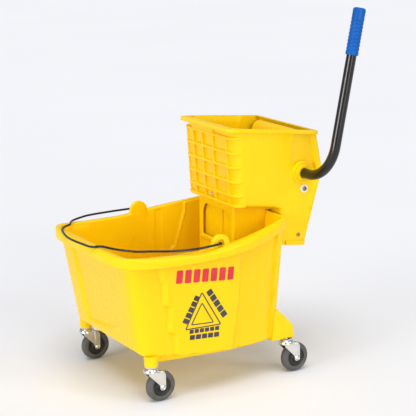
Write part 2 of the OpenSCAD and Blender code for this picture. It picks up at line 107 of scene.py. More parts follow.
# Wringer: pairs are (x, height)
HOPPER_FRONT = 70
HOPPER_TOP = wringer_high[2]
HOPPER_HALF = 116
HOPPER_SPREAD = 0.082
HOPPER_WALL = 4
HOPPER_FOOT = (85, 435)
FOOT_BACK = 409
RIM_FRONT = wringer_low[0]
RIM_BACK = 314
HOPPER_SLOPE = 25 / (RIM_BACK - RIM_FRONT)
SEAT = 208
SEAT_Z = 420
KINK = (wringer_high[0], 509)
HEEL = (278, 317)
SKIRT_FOOT = 324
# Leg: where its front and rear faces are along x
LEG = (92, 178)
LEG_HALF = 83
LEG_BOTTOM = wringer_low[2]
LEG_TOP = 430
LEG_CORNER = 6
LEG_WALL = 4

# Casters
WHEEL = (tyre_high[2] - tyre_low[2]) / 2
WHEEL_W = tyre_high[1] - tyre_low[1]
CORNERS = ("front_left", "front_right", "rear_left", "rear_right")


# ---- numbers ----

def mix(a, b, t):
    return a + (b - a) * t


def limit(t):
    return np.clip(t, 0.0, 1.0)


def ease(t):
    t = limit(t)
    return t * t * (3 - 2 * t)


def ramp(x, start, end):
    """0 before start, 1 past end, and even between them."""
    return limit((x - start) / (end - start))


def band(x, middle, half, soft):
    """1 within half of the middle, and easing to 0 at its edges."""
    return ease((half - np.abs(x - middle)) / soft)


def steps(low, high, count):
    return np.linspace(low, high, count)


def line(at, points):
    """The value at a place along a bent line of (place, value) points."""
    return np.interp(at, *zip(*points))


def runs(path):
    """How far each point is along a level path."""
    gaps = np.diff(path[:, :2], axis=0)
    return np.concatenate([[0], np.cumsum(np.hypot(*gaps.T))])


# ---- shapes: each is (points, faces), in millimetres ----

def joined(*parts):
    points, faces = [], []
    for part_points, part_faces in parts:
        start = len(points)
        points.extend(tuple(p) for p in part_points)
        faces.extend(tuple(start + i for i in face) for face in part_faces)
    return points, faces


def skin(rings, capped=False):
    """Quads between closed rings of points, and caps over the end rings if they are wanted."""
    count = len(rings[0])
    points = [tuple(p) for ring in rings for p in ring]
    faces = []
    for r in range(len(rings) - 1):
        for c in range(count):
            n = (c + 1) % count
            faces.append((r * count + c, r * count + n, (r + 1) * count + n, (r + 1) * count + c))
    if capped:
        faces.append(tuple(reversed(range(count))))
        faces.append(tuple((len(rings) - 1) * count + c for c in range(count)))
    return points, faces


def around_y(x, z):
    return lambda r, a, h: (x + r * cos(a), h, z + r * sin(a))


def around_z(x, y):
    return lambda r, a, h: (x + r * cos(a), y + r * sin(a), h)


def standing(profile, face):
    """A profile of (radius, height) points with its heights counted from a face."""
    return [(r, face + h) for r, h in profile]


def both_ends(profile, *middle):
    """The profile of one half, any points in the middle plane, and the half that mirrors it."""
    return [*profile, *middle, *((r, -h) for r, h in reversed(profile))]


def revolve(profile, place, count=48, looped=False):
    """Turns a profile of (radius, height) points about an axis; a looped profile joins its own ends."""
    rings = [[place(r, 2 * pi * k / count, h) for k in range(count)] for r, h in profile]
    if looped:
        rings.append(rings[0])
    return skin(rings)


def rounded(points, radius, count=5):
    """The closed outline with an arc at each corner; radius is one number, or one for each corner."""
    radii = radius if hasattr(radius, "__len__") else [radius] * len(points)
    out = []
    for i, r in enumerate(radii):
        here = np.array(points[i], float)
        back = np.array(points[i - 1], float) - here
        ahead = np.array(points[(i + 1) % len(points)], float) - here
        back_len, ahead_len = norm(back), norm(ahead)
        back, ahead = back / back_len, ahead / ahead_len
        half = acos(np.clip(back @ ahead, -1, 1)) / 2
        if r <= 0 or half > pi / 2 - 0.02:
            out.append(tuple(here))
            continue
        reach = min(r / tan(half), 0.49 * back_len, 0.49 * ahead_len)
        centre = here + (back + ahead) / norm(back + ahead) * reach / cos(half)
        start, end = here + back * reach - centre, here + ahead * reach - centre
        size = norm(start)
        a = atan2(start[1], start[0])
        turn = (atan2(end[1], end[0]) - a + pi) % (2 * pi) - pi
        for k in range(count + 1):
            at = a + turn * k / count
            out.append(tuple(centre + size * np.array([cos(at), sin(at)])))
    return out


def area(loop):
    return sum(a[0] * b[1] - b[0] * a[1] for a, b in zip(loop, loop[1:] + loop[:1])) / 2


def inset(loop, by):
    """The outline moved to its left by a small amount."""
    p = np.array(loop, float)
    back = p - np.roll(p, 1, axis=0)
    ahead = np.roll(p, -1, axis=0) - p
    left = [np.stack([-v[:, 1], v[:, 0]], axis=1) / np.maximum(norm(v, axis=1), 1e-9)[:, None]
            for v in (back, ahead)]
    both = left[0] + left[1]
    miter = both / np.maximum((both * both).sum(axis=1) / 2, 0.5)[:, None]
    return p + miter * by


def prism(outline, low, high, place, holes=(), edge=1.0, hole_edge=None):
    """A plate between w = low and w = high with rounded edges, from its outline (u, v) and its holes."""
    loops = [list(outline), *[list(h) for h in holes]]
    for i, loop in enumerate(loops):
        if (area(loop) > 0) != (i == 0):
            loop.reverse()
    edges = [edge] + [edge if hole_edge is None else hole_edge] * len(holes)
    points, faces, start, caps = [], [], 0, []
    for loop, r in zip(loops, edges):
        turns = steps(0, pi / 2, EDGE_RINGS) if r > 0 else [pi / 2]
        levels = [(r * (1 - sin(a)), low + r * (1 - cos(a))) for a in turns]
        levels += [(by, high + low - w) for by, w in reversed(levels)]
        rings = [[(u, v, w) for u, v in inset(loop, by)] for by, w in levels]
        part_points, part_faces = skin(rings)
        n = len(loop)
        caps.append((start, start + (len(rings) - 1) * n, n, rings[0]))
        points.extend(part_points)
        faces.extend(tuple(start + i for i in f) for f in part_faces)
        start += len(part_points)
    flat = tessellate_polygon([[Vector((u, v, 0)) for u, v, _ in ring] for _, _, _, ring in caps])
    low_index = [first + k for first, _, n, _ in caps for k in range(n)]
    high_index = [last + k for _, last, n, _ in caps for k in range(n)]
    faces += [tuple(low_index[i] for i in tri) for tri in flat]
    faces += [tuple(high_index[i] for i in reversed(tri)) for tri in flat]
    return [place(*p) for p in points], faces


def lying(u, v, w):
    """Outline in plan: u is x, v is y, w is z."""
    return u, v, w


def upright(u, v, w):
    """Outline seen from the side: u is x, v is z, w is y."""
    return u, w, v


def facing(u, v, w):
    """Outline seen from the front: u is y, v is z, w is x."""
    return w, u, v


def spline(points, per_span=6):
    """A smooth curve through the points."""
    p = np.array(points, float)
    p = np.vstack([2 * p[0] - p[1], p, 2 * p[-1] - p[-2]])
    out = []
    for i in range(1, len(p) - 2):
        a, b, c, d = p[i - 1], p[i], p[i + 1], p[i + 2]
        for k in range(per_span):
            t = k / per_span
            out.append(0.5 * (2 * b + (c - a) * t + (2 * a - 5 * b + 4 * c - d) * t * t
                              + (3 * b - a - 3 * c + d) * t ** 3))
    out.append(p[-2])
    return np.array(out)


def sweep(path, section, up, closed=False):
    """Carries a section of (across, over) points along a path; it may be a function of the path's share."""
    path = np.array(path, float)
    last = len(path) - 1
    up = np.array(up, float)
    rings = []
    for i, p in enumerate(path):
        if closed:
            along = path[(i + 1) % len(path)] - path[i - 1]
        else:
            along = path[min(i + 1, last)] - path[max(i - 1, 0)]
        across = np.cross(along, up)
        across /= norm(across)
        over = np.cross(across, along)
        over /= norm(over)
        shape = section(i / last) if callable(section) else section
        rings.append([p + a * across + o * over for a, o in shape])
    if closed:
        rings.append(rings[0])
    return skin(rings, capped=not closed)


def circle(r, count=20, flat=1.0):
    return [(r * cos(a), flat * r * sin(a)) for a in steps(0, 2 * pi, count + 1)[:-1]]


def rectangle(low, high, across):
    """The outline from its low to its high edge, with half its width across."""
    return [(-across, low), (across, low), (across, high), (-across, high)]


def shifted(outline, x, y):
    return [(x + u, y + v) for u, v in outline]


def around(x, z, r, turns):
    """Points at a radius from (x, z), one for each turn."""
    return [(x + r * cos(a), z + r * sin(a)) for a in turns]


def mirrored(shape):
    points, faces = shape
    return [(x, -y, z) for x, y, z in points], [tuple(reversed(f)) for f in faces]


def both_sides(shape):
    return joined(shape, mirrored(shape))


def moved(shape, by):
    points, faces = shape
    return [tuple(np.array(p) + by) for p in points], faces


# ---- pieces ----

def placed(name, data):
    """A new object in the scene."""
    made = bpy.data.objects.new(name, data)
    bpy.context.scene.collection.objects.link(made)
    return made


def make_piece(name, shape, material, body, slot, nodes=None, sharp=38):
    """A mesh piece that rides on a CAD body and takes the material given; slot is not used.

    It stands for the CAD nodes given, or else for the node of its own name.
    """
    nodes = [name] if nodes is None else nodes
    points, faces = shape
    bm = bmesh.new()
    for x, y, z in points:
        bm.verts.new((x * MM, y * MM, z * MM))
    bm.verts.ensure_lookup_table()
    for face in faces:
        try:
            bm.faces.new([bm.verts[i] for i in face])
        except ValueError:
            pass  # the same face is there already
    bmesh.ops.remove_doubles(bm, verts=bm.verts[:], dist=0.02 * MM)
    bmesh.ops.dissolve_degenerate(bm, edges=bm.edges[:], dist=0.01 * MM)
    bmesh.ops.recalc_face_normals(bm, faces=bm.faces[:])
    mesh = bpy.data.meshes.new(name)
    bm.to_mesh(mesh)
    bm.free()
    mesh.shade_smooth()
    mesh.set_sharp_from_angle(angle=radians(sharp))
    mesh.materials.append(material)
    piece = placed(name, mesh)
    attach(piece, body)
    if nodes:
        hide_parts(*nodes)


# ---- materials ----

def principled(name):
    material = bpy.data.materials.new(name)
    material.use_nodes = True
    tree = material.node_tree
    return material, tree, tree.nodes["Principled BSDF"]


def put(node, **values):
    """Sets a node's inputs; an underscore stands for a space in an input's name."""
    for name, value in values.items():
        node.inputs[name.replace("_", " ")].default_value = value


def noise(tree, scale, detail=3.0):
    """A noise texture in the object's own frame; scale is in features a metre."""
    place = tree.nodes.new("ShaderNodeTexCoord")
    texture = tree.nodes.new("ShaderNodeTexNoise")
    put(texture, Scale=scale, Detail=detail)
    tree.links.new(place.outputs["Object"], texture.inputs["Vector"])
    return texture.outputs["Fac"]


NOISE_LOW, NOISE_HIGH = 0.35, 0.65
GRAIN_STRENGTH = 0.18


def between(tree, factor, low, high):
    """Maps a noise factor to the range low to high."""
    node = tree.nodes.new("ShaderNodeMapRange")
    put(node, From_Min=NOISE_LOW, From_Max=NOISE_HIGH, To_Min=low, To_Max=high)
    tree.links.new(factor, node.inputs["Value"])
    return node.outputs["Result"]


def blended(tree, factor, low, high):
    """Mixes two colours by a noise factor."""
    node = tree.nodes.new("ShaderNodeMix")
    node.data_type = "RGBA"
    put(node, A=(*low, 1), B=(*high, 1))
    tree.links.new(between(tree, factor, 0, 1), node.inputs["Factor"])
    return node.outputs["Result"]


def surface(name, low, high, patch, rough=(0.3, 0.42), grain=900, relief=0.02, metal=0.0, shine=0.5):
    """Two close colours in soft patches, uneven gloss, and a fine grain in the surface.

    patch and grain are in features a metre, and relief is the grain's depth in millimetres.
    """
    material, tree, shader = principled(name)
    tree.links.new(blended(tree, noise(tree, patch), low, high), shader.inputs["Base Color"])
    gloss = noise(tree, patch * 7, detail=4)
    tree.links.new(between(tree, gloss, *rough), shader.inputs["Roughness"])
    put(shader, Metallic=metal, Specular_IOR_Level=shine)
    bump = tree.nodes.new("ShaderNodeBump")
    put(bump, Strength=GRAIN_STRENGTH, Distance=relief * MM)
    tree.links.new(noise(tree, grain, detail=2), bump.inputs["Height"])
    tree.links.new(bump.outputs["Normal"], shader.inputs["Normal"])
    return material


yellow = surface(
    "yellow plastic", (0.93, 0.60, 0.002), (0.95, 0.62, 0.002), rough=(0.22, 0.29), patch=7, shine=0.22)
press_yellow = surface(
    "press plastic", (0.91, 0.57, 0.002), (0.93, 0.59, 0.002), rough=(0.24, 0.32), patch=9, shine=0.22)
zinc = surface(
    "zinc plate", (0.70, 0.70, 0.68), (0.80, 0.79, 0.77),
    rough=(0.18, 0.26), patch=25, grain=1500, relief=0.01, metal=1.0)
dull_zinc = surface(
    "dull zinc", (0.20, 0.19, 0.16), (0.34, 0.32, 0.27), rough=(0.25, 0.4), patch=80, grain=1500, metal=1.0)
black_steel = surface(
    "painted steel", (0.005, 0.005, 0.005), (0.008, 0.008, 0.008),
    rough=(0.17, 0.22), patch=25, grain=1400, relief=0.003)
black_wire = surface(
    "coated wire", (0.003, 0.004, 0.007), (0.007, 0.009, 0.016),
    rough=(0.2, 0.3), patch=60, grain=1500, relief=0.01)
gear_black = surface(
    "gear plastic", (0.022, 0.022, 0.023), (0.034, 0.034, 0.034),
    rough=(0.4, 0.55), patch=40, grain=1200, relief=0.03)
grip_blue = surface(
    "grip plastic", (0.000, 0.085, 0.36), (0.001, 0.100, 0.42),
    patch=30, grain=1000, shine=0.2)
nylon = surface(
    "nylon", (0.76, 0.77, 0.79), (0.84, 0.85, 0.86), patch=60, grain=1200)
wheel_black = surface(
    "wheel plastic", (0.008, 0.007, 0.006), (0.014, 0.012, 0.010),
    rough=(0.3, 0.5), patch=60, grain=1200, relief=0.03)
tyre_grey = surface(
    "tyre rubber", (0.070, 0.070, 0.066), (0.095, 0.095, 0.090),
    rough=(0.42, 0.6), patch=45, grain=1600, relief=0.04)
spring = surface(
    "spring steel", (0.42, 0.42, 0.43), (0.60, 0.60, 0.60),
    rough=(0.22, 0.36), patch=80, grain=1800, metal=1.0)
red_ink = surface("red ink", (0.62, 0.018, 0.035), (0.72, 0.030, 0.050), patch=30)
dark_ink = surface("dark ink", (0.028, 0.030, 0.040), (0.050, 0.052, 0.064), patch=30)


# ---- bucket: a wall that follows one outline from its foot to its rim ----

COLUMNS = 520
FINE = 20001
# Where along x each change starts and is complete
RIM_CLIMBS = (-80, 190)
RIM_LIFTS = (-170, -250)
UNDERSIDE_CLIMBS = (-188, -225)
FOOT_WIDENS = (-230, 180)
OVERHANG_SHRINKS = (60, 170)
SKIRT_DEEPENS = (-60, 90)
LIFT = 4
# Narrowing a millimetre towards the front, in all at the rear, and at the foot's front end
NARROW_FRONT = 0.035
NARROW_REAR = 36
FOOT_SHARE = 0.89
PANEL_RISE = 8
PANEL_SOFT = 5
PILLAR = 5.5
FACET = 7
GROOVE = 1.2
GROOVE_AT = 8
RECESS = 6
LIP_BACK = 7
FOOT_R = 6
INNER_R = 14
# (height, x) points down the two edges of the raised side panel
PANEL_LEFT = (
    (110, -130), (164, -138), (173, -150), (236, -153), (244, -167), (299, -169), (306, -175), (334, -180),
)
PANEL_RIGHT = ((104, 19), (226, 35), (343, 38))
# (height, x) points down the crease ahead of the rear pillar, down the pillar's own edge, and down the
# step inside that the wringer stands against
CREASE = ((99, 130), (206, 121), (217, 125), (375, 154))
PILLAR_EDGE = ((92, 150), (375, 162))
INNER_RIDGE = ((262, 66), (268, 78), (364, 105))
# (x, height) points along the wall's lower edge
WALL_FOOT = ((-188, 117), (-137, 111), (-98, 108), (0, 104), (130, 98))
# (height, y) points down the two edges of the front recess, and (y, height) points along its foot
RECESS_LEFT = ((149, 98), (324, 109))
RECESS_RIGHT = ((185, -80), (242, -83), (333, -97))
RECESS_FOOT = ((-80, 175), (-48, 160), (9, 151), (98, 143))


def rim_at(x):
    """Height of the rim: it climbs in a curve to the rear, and lifts a little at the front."""
    return RIM + RIM_RISE * ramp(x, *RIM_CLIMBS) ** 1.35 + LIFT * ramp(x, *RIM_LIFTS)


def underside_at(x):
    """Height of the underside, which climbs between the front casters."""
    return FLOOR + FRONT_RISE * ramp(x, *UNDERSIDE_CLIMBS)


def half_width(x):
    """Half the inner width at the rim: it narrows evenly to the front and in a curve to the rear."""
    rear = HALF - NARROW_REAR * (np.clip(x, 0, REAR) / REAR) ** 1.5
    return np.where(x < 0, HALF + NARROW_FRONT * x, rear)


def taper(x, f):
    """The width at height share f as a share of the rim's; the foot is narrowest at the front."""
    return mix(mix(FOOT_SHARE, 1, ramp(x, *FOOT_WIDENS)), 1, f)


def plan(a, f, d):
    """The bucket's outline in plan: f is 0 at the foot and 1 at the rim, d is outside the inner face."""
    c, s = np.cos(a), np.sin(a)
    bend = np.where(c < 0, mix(FRONT_BEND, RIM_BEND, limit(d / OVERHANG)), REAR_BEND)
    size = (np.abs(c) ** bend + np.abs(s) ** bend) ** (-1 / bend)
    u, v = size * c, size * s
    front = mix(FRONT - FRONT_LEAN, FRONT, f) + d
    rear = mix(REAR - REAR_LEAN, REAR, f) + d
    x = MIDDLE + u * np.where(u < 0, front + MIDDLE, rear - MIDDLE)
    return x, v * (half_width(x) * taper(x, f) + d)


def even_angles(count):
    """Directions that cut the outline at the rim into equal lengths."""
    a = steps(0, 2 * pi, FINE)
    x, y = plan(a, 1.0, 0.0)
    run = runs(np.stack([x, y], axis=1))
    return np.interp(np.arange(count) / count * run[-1], run, a)


ANGLES = even_angles(COLUMNS)
RIM_X = plan(ANGLES, 1.0, 0.0)[0]
FOOT_X = plan(ANGLES, 0.0, 0.0)[0]
# Each column's overhang, which shrinks towards the rear, and its skirt's depth, which grows towards it
RIM_OUT = mix(OVERHANG, OVERHANG_REAR, ramp(RIM_X, *OVERHANG_SHRINKS))
SKIRT_AT = mix(SKIRT - 4, SKIRT, ramp(RIM_X, *SKIRT_DEEPENS))


def out_of(x, y):
    """Outward directions of a closed outline."""
    tx, ty = np.roll(x, -1) - np.roll(x, 1), np.roll(y, -1) - np.roll(y, 1)
    size = np.maximum(np.hypot(tx, ty), 1e-9)
    return ty / size, -tx / size


def outer_mouldings(x, z):
    """The side panel and the grooves beside it, the facet and pillar behind it, and the lip below."""
    left, right = line(z, PANEL_LEFT), line(z, PANEL_RIGHT)
    panel = limit((x - left + PANEL_SOFT) / 8) * limit((right + PANEL_SOFT - x) / 9)
    groove = band(x, left - GROOVE_AT, 4, 2.5) + band(x, right + GROOVE_AT, 4, 2.5)
    facet = limit((x - line(z, CREASE)) / 30)
    pillar = ease((x - line(z, PILLAR_EDGE) + 2) / 4)
    up = ramp(z, FLOOR, RIM_REAR)
    lip = ease((line(x, WALL_FOOT) + 1.5 - z) / 3)
    side = (PANEL_RISE * panel - GROOVE * groove) * (1 - lip) - FACET * facet * (1 - pillar)
    return side + PILLAR * up * pillar - LIP_BACK * lip * (1 - pillar)


def inner_mouldings(x, z):
    """Two upright bands, the step that the wringer stands against, and a hollow under the front rim."""
    ridge = line(z, INNER_RIDGE)
    bands = band(x, 34, 11, 4) + 0.6 * band(x, -37, 9, 5) * ease((310 - z) / 12)
    hollow = ease((RIM - 9 - z) / 3) * ease((-168 - x) / 4)
    return 1.6 * bands - 2.5 * ease((x - ridge) / 3) - 1.4 * band(x, ridge + 3, 5, 3) - 1.5 * hollow


def front_recess(y, z):
    """1 inside the recess of the front wall, and easing to 0 at its edges."""
    across = ease((y + 4 - line(z, RECESS_RIGHT)) / 10) * ease((line(z, RECESS_LEFT) + 4 - y) / 10)
    return across * ease((z - line(y, RECESS_FOOT) + 5) / 10)


def facing_share(part):
    """1 where a wall faces one way, easing to 0 round the corner; part is its normal's part that way."""
    return ease((part - 0.55) / 0.4)


def wall_relief(x, y, z, nx, ny, outer):
    """How far the wall's mouldings stand out, on its outer or its inner face."""
    side = outer_mouldings(x, z) if outer else inner_mouldings(x, z)
    return side * facing_share(np.abs(ny)) - RECESS * front_recess(y, z) * facing_share(-nx)


def wall_ring(f, d, outer):
    """One ring of the wall, its mouldings included."""
    x, y = plan(ANGLES, f, d)
    low = underside_at(FOOT_X) + (0 if outer else WALL)
    z = mix(low, rim_at(RIM_X) - WALL, f)
    nx, ny = out_of(x, y)
    by = wall_relief(x, y, z, nx, ny, outer)
    return np.stack([x + nx * by, y + ny * by, z], axis=1)


def rim_ring(d, drop):
    x, y = plan(ANGLES, 1.0, d)
    return np.stack([x, y, rim_at(RIM_X) - drop], axis=1)


def floor_ring(f, d, share, rise):
    """A ring of the bucket's bottom, drawn in towards its middle."""
    x, y = plan(ANGLES, f, d)
    z = underside_at(FOOT_X) + rise
    return np.stack([MIDDLE + (x - MIDDLE) * share, y * share, mix(FLOOR + rise, z, share ** 3)], axis=1)


def foot_rings():
    """The underside, and the round edge up to the outer wall."""
    rings = [floor_ring(0, WALL - FOOT_R, share, 0) for share in (0.01, 0.3, 0.6, 0.85, 0.96)]
    for turn in steps(0, pi / 2, 5):
        foot = wall_ring(0, WALL - FOOT_R * (1 - sin(turn)), True)
        foot[:, 2] = underside_at(FOOT_X) + FOOT_R * (1 - cos(turn))
        rings.append(foot)
    return rings


def rim_rings():
    """Under the overhang, down inside the skirt, round its edge, and over the rim to the inner face."""
    inside, bend, fall = RIM_OUT - 3.5, np.minimum(11.0, RIM_OUT - 4), SKIRT_AT - 8
    path = [(inside, WALL), (inside, SKIRT_AT), (RIM_OUT - 2.6, SKIRT_AT + 1.2),
            (RIM_OUT - 0.7, SKIRT_AT + 0.9), (RIM_OUT, SKIRT_AT - 0.6)]
    path += [(RIM_OUT, mix(fall, SKIRT_AT, share)) for share in (0.66, 0.33)]
    for turn in steps(0, pi / 2, 10):
        path.append((RIM_OUT - bend * (1 - cos(turn)), fall * (1 - sin(turn))))
    path += [(mix(RIM_OUT - bend, 3.5, share), 0) for share in (0.5, 1.0)]
    path += [(2.2, 0.3), (1.0, 1.2), (0.2, 2.8), (0, 5)]
    return [rim_ring(d, drop) for d, drop in path]


def bottom_rings(low):
    """The round corner inside, from height share low, and the floor."""
    rings = []
    for turn in steps(0.2, pi / 2, 6):
        corner = wall_ring(low * (1 - sin(turn)), -INNER_R * (1 - cos(turn)), False)
        corner[:, 2] = underside_at(FOOT_X) + WALL + (INNER_R + 1) * (1 - sin(turn))
        rings.append(corner)
    return rings + [floor_ring(0, -INNER_R, share, WALL) for share in (0.96, 0.8, 0.5, 0.2, 0.01)]


def bucket_shell():
    low = 0.06
    outer = [wall_ring(f, WALL, True) for f in steps(0.025, 1, 84)]
    inner = [wall_ring(f, 0, False) for f in steps(0.985, low, 56)]
    return skin(foot_rings() + outer + rim_rings() + inner + bottom_rings(low))


def bail_ears():
    """A tab on each side of the rim: a plain inner plate, and an outer arch that the bail hooks into."""
    inner, middle, outer = HALF - 0.6, HALF + 3, HALF + 10
    foot = RIM - 16
    x, z = bail_pivot[0], bail_pivot[2] - 4
    arch = around(x, z, 25, steps(0, pi, 25))
    outline = [(x + 28, foot), (x + 27, z - 8), *arch, (x - 27, z - 8), (x - 28, foot)]
    slot = [*around(x, z + 4, 9, steps(0, pi, 13)), (x - 9, RIM - 2), (x + 9, RIM - 2)]
    plate = prism(outline, inner, middle + 0.5, upright, edge=1.6)
    hood = prism(outline, middle, outer, upright, [slot], edge=2.2, hole_edge=1.2)
    return both_sides(joined(plate, hood))


def rear_feet():
    """A wedge behind each rear corner that carries a caster."""
    rear, foot = bucket_high[0], BOSS_FOOT + 1
    corners = [(150, foot), (rear, foot), (rear, 121), (rear - 8, 133), (168, 171), (156, 171), (150, 105)]
    outline = rounded(corners, [0, 4, 6, 8, 4, 0, 0])
    return both_sides(prism(outline, 148, 181, upright, edge=2.5))


def front_bosses():
    """A faceted boss at each front corner that carries a caster."""
    x, y, _ = pivot("swivel_front_right")
    outline = shifted(rounded(circle(17, 12), 1.5, 2), x, y)
    return both_sides(prism(outline, BOSS_FOOT, BOSS_FOOT + 25, lying, edge=1.5))


# The marks reach from just inside the panel's face to just outside it
SUNK = -0.3
INK = 0.6
FRAME_W = 2.6
# Each row: the ends of its base line as (x, height), its height, how many blocks, and the gap between them
RED_ROW = ((-147, 296), (16, 284), 33, 7, 6)
DARK_ROWS = (
    ((-111, 187), (-76, 254), 15, 5, 3), ((-62, 264), (-13, 189), 15, 5, 3),
    ((-105, 163), (-22, 161), 10, 6, 3), ((-104, 147), (-22, 144), 12, 5, 3),
)
# Corners of the two frames, as (x, height)
FRAMES = (((-73, 267), (-116, 174), (-17, 174)), ((-72, 240), (-101, 184), (-37, 182)))


def on_panel(x, z, out):
    """A point on the raised panel of the bucket's left side, a little out from it."""
    f = (z - FLOOR) / (rim_at(x) - WALL - FLOOR)
    return x, -(float(half_width(x)) * taper(x, f) + WALL + PANEL_RISE) - out, z


def block_row(start, end, tall, count, gap):
    """Plain rounded blocks in a row along a line on the panel."""
    start, end = np.array(start, float), np.array(end, float)
    along = (end - start) / count
    size = norm(along)
    over = np.array([-along[1], along[0]]) / size * tall
    blocks = []
    for k in range(count):
        low = start + along * (k + gap / size / 2)
        high = start + along * (k + 1 - gap / size / 2)
        corners = [low, high, high + over, low + over]
        blocks.append(prism(rounded(corners, tall * 0.1), SUNK, INK, on_panel, edge=0))
    return joined(*blocks)


def triangle_frame(corners):
    outline = rounded(corners, 3)
    if area(outline) < 0:
        outline.reverse()
    return prism(outline, SUNK, INK, on_panel, [[tuple(p) for p in inset(outline, FRAME_W)]], edge=0)


def panel_print():
    """Plain marks printed on the left side: a row of red blocks, and dark blocks round a triangular frame."""
    make_piece("red_blocks", block_row(*RED_ROW), red_ink, "bucket_body", "yellow_plastic", ())
    dark = joined(*(block_row(*row) for row in DARK_ROWS), *(triangle_frame(corners) for corners in FRAMES))
    make_piece("dark_marks", dark, dark_ink, "bucket_body", "yellow_plastic", ())


def bucket():
    make_piece("bucket_shell", bucket_shell(), yellow, "bucket_body", "yellow_plastic", ["bucket"], sharp=34)
    details = joined(bail_ears(), rear_feet(), front_bosses())
    make_piece("bucket_details", details, yellow, "bucket_body", "yellow_plastic", ())
    panel_print()


# ---- wringer ----

HOPPER_COLUMNS = 320
FRONT_CORNER = 26
REAR_CORNER = 7
FOOT_ROUND = 8
FOOT_FADE = 14
RIB_DEPTH = 7
RIB_FADE = 26
# Heights of the ribs that run round the front corners, and places across of the upright ones
RIB_Z = (436, 461, 497, 534, 570, 607)
RIB_Y = (-84, -22, 28, 72)
FINGER = -4
FLANGE_AHEAD = 11
# Depth of the scoop above the lever's axle, and (height, x) points down its front and rear edges
SCOOP = 9
SCOOP_FRONT = ((470, 262), (500, 240), (540, 228), (600, 236))
SCOOP_REAR = ((500, 305), (610, 293))
AXLE = (float(axle[0]), float(axle[2]))
HINGE = (float(hinge[0]), float(hinge[2]))
# The stop bolts as (x, height), and the strainer's screw as (y, height)
STOP = ((stop_low[0] + stop_high[0]) / 2, (stop_low[2] + stop_high[2]) / 2)
STRAINER_SCREW = (3, 447.5)


def hopper_half(x):
    return HOPPER_HALF + (x - HOPPER_FRONT) * HOPPER_SPREAD


def hopper_rim(x):
    return HOPPER_TOP - (x - RIM_FRONT) * HOPPER_SLOPE


def front_at(z):
    """Where the sloping front face is at a height."""
    x, foot = HOPPER_FOOT
    return x - (z - foot) * (x - HOPPER_FRONT) / (HOPPER_TOP - foot)


REAR_LINE = ((HEEL[1], HEEL[0]), (KINK[1], KINK[0]), (hopper_rim(RIM_BACK), RIM_BACK - 6))


def rear_at(z):
    """Where the rear wall is at a height: out from the heel to the kink, and back in to the rim."""
    return line(z, REAR_LINE)


def level(front, rear, front_z, rear_z, by=0.0, corner=FRONT_CORNER, count=HOPPER_COLUMNS):
    """A tilted outline round the wringer, in equal steps from its front's middle; by is outside its face."""
    low, high = front - by, rear + by
    corners = [(low, -hopper_half(front) - by), (high, -hopper_half(rear) - by),
               (high, hopper_half(rear) + by), (low, hopper_half(front) + by)]
    radii = [max(corner + by, 0.5), max(REAR_CORNER + by, 0.5)]
    path = np.array([(low, 0), *rounded(corners, radii + radii[::-1], 12), (low, 0)], float)
    run = runs(path)
    at = np.arange(count) / count * run[-1]
    x, y = np.interp(at, run, path[:, 0]), np.interp(at, run, path[:, 1])
    return np.stack([x, y, front_z + (x - front) / (rear - front) * (rear_z - front_z)], axis=1)


def hopper_level(t, by=0.0):
    """The wringer's outline between its foot plane, t = 0, and its rim plane, t = 1."""
    front_z = mix(HOPPER_FOOT[1], hopper_rim(HOPPER_FRONT), t)
    rear_z = mix(FOOT_BACK, hopper_rim(RIM_BACK), t)
    return level(front_at(front_z), rear_at(rear_z), front_z, rear_z, by)


def skirt_level(t, by=0.0):
    """The outline of the part behind the bucket, from its foot, t = 0, to the hopper's foot plane, t = 1."""
    front_z, rear_z = mix(SKIRT_FOOT, SEAT_Z, t), mix(HEEL[1], FOOT_BACK, t)
    return level(SEAT, rear_at(rear_z), front_z, rear_z, by, 8)


def scoop_depth(x, z):
    """Depth of the scoop in the wringer's sides above the lever's axle."""
    front, rear = line(z, SCOOP_FRONT), line(z, SCOOP_REAR)
    share = 0.4 * ease((x - front) / 20) + 0.6 * limit((x - front) / (rear - front))
    return SCOOP * share * ease((rear + 5 - x) / 5) * ease((z - 478) / 30)


def side_relief(x, z):
    """How far the wringer's side mouldings stand out: a scoop above the axle, a border strip below it."""
    edge = rear_at(z)
    strip = ease((x - edge + 21) / 3) * ease((edge - 2 - x) / 3) * ease((486 - z) / 6) * ease((z - 330) / 5)
    return 1.6 * strip - scoop_depth(x, z)


def with_relief(ring):
    x, y, z = ring.T
    nx, ny = out_of(x, y)
    by = side_relief(x, z) * ease((np.abs(ny) - 0.8) / 0.15)
    return np.stack([x + nx * by, y + ny * by, z], axis=1)


def hopper_inner(t):
    """The wringer's inner outline; its sides stand further in ahead of the press plate's gears."""
    ring = hopper_level(t, -HOPPER_WALL)
    step_x = mix(200, 254, t)
    by = 4 * ease((step_x - ring[:, 0]) / 3) * ease((np.abs(ring[:, 1]) - 60) / 40) * ease((1 - t) / 0.04)
    scoop = scoop_depth(ring[:, 0], ring[:, 2]) * (np.abs(ring[:, 1]) > 110)
    ring[:, 1] -= np.sign(ring[:, 1]) * (by + scoop)
    return ring


def foot_cap(ring):
    """The hopper's foot outline drawn in towards the leg, to close its underside ahead of the seat."""
    cap = ring.copy()
    drawn = 0.35 * limit((SEAT - 3 - cap[:, 0]) / FOOT_FADE)
    cap[:, 0] += (150 - cap[:, 0]) * drawn
    cap[:, 1] *= 1 - drawn
    x, foot = HOPPER_FOOT
    cap[:, 2] = foot - (cap[:, 0] - x) * (foot - SEAT_Z) / (SEAT - x)
    return cap


